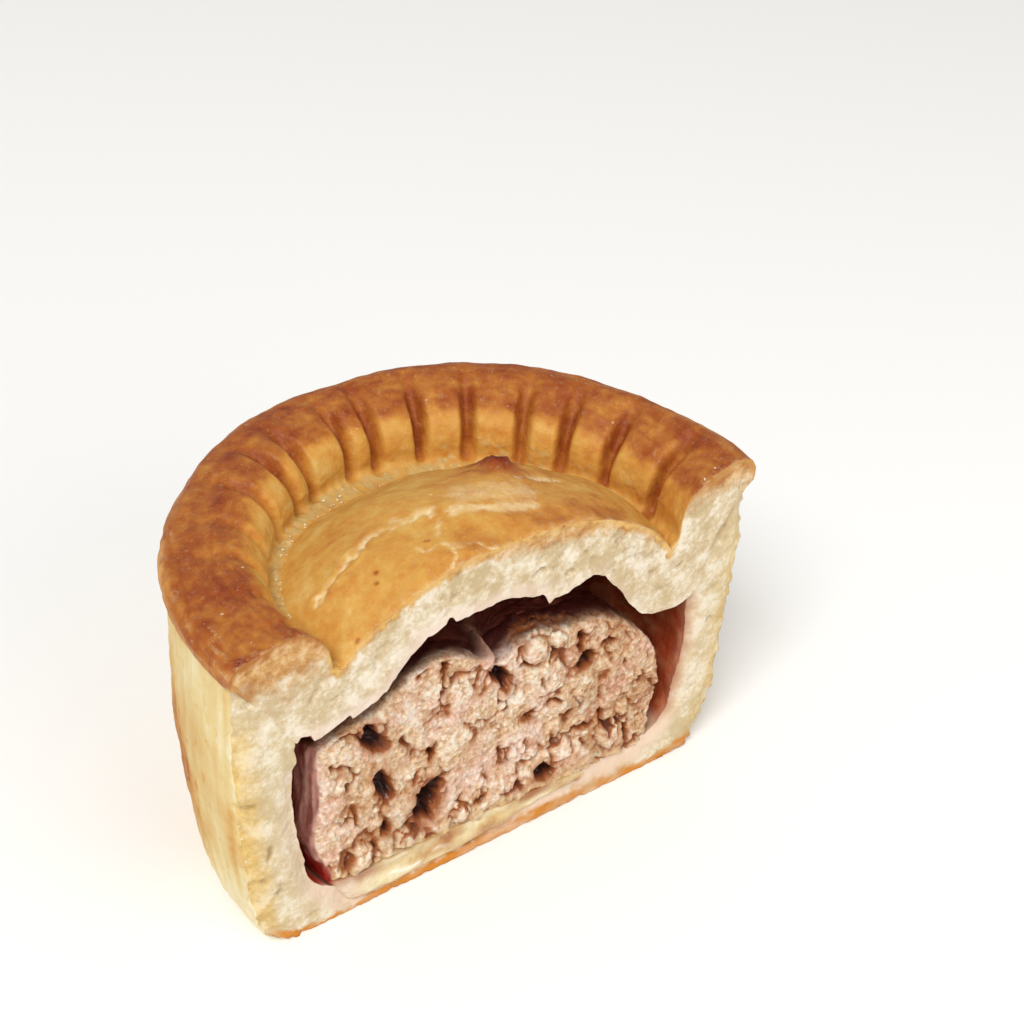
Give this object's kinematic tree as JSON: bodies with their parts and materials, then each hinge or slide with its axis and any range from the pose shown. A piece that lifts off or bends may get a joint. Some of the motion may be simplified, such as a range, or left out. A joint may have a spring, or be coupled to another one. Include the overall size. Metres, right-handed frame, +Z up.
{
  "type": "pork pie",
  "caption": "Individual raised pork pie with a fluted rim and domed lid, cut open just in front of its middle to show the pork filling, jelly layer and air gap.",
  "frame": {"origin": "middle of the footprint's bounding box, on the surface the pie stands on", "axes": "+Z up through the lid, -Y out of the flat cut face, +X to the right along the cut"},
  "size_m": [0.0757, 0.0442, 0.0493],
  "materials": {
    "case_pastry": "pale baked hot-water crust with golden streaks, dry and slightly greasy",
    "lid_pastry": "egg-glazed golden-brown pastry, darker on the rim, white crumb where cut",
    "cooked_pork": "moist coarse-chopped cooked pork with dark holes between the lumps",
    "pork_jelly": "clear set stock jelly, wet and shiny"
  },
  "bodies": {
    "root": {"pastry_case": "case_pastry", "pastry_lid": "lid_pastry", "pork_filling": "cooked_pork", "jelly": "pork_jelly"}
  },
  "joints": []
}
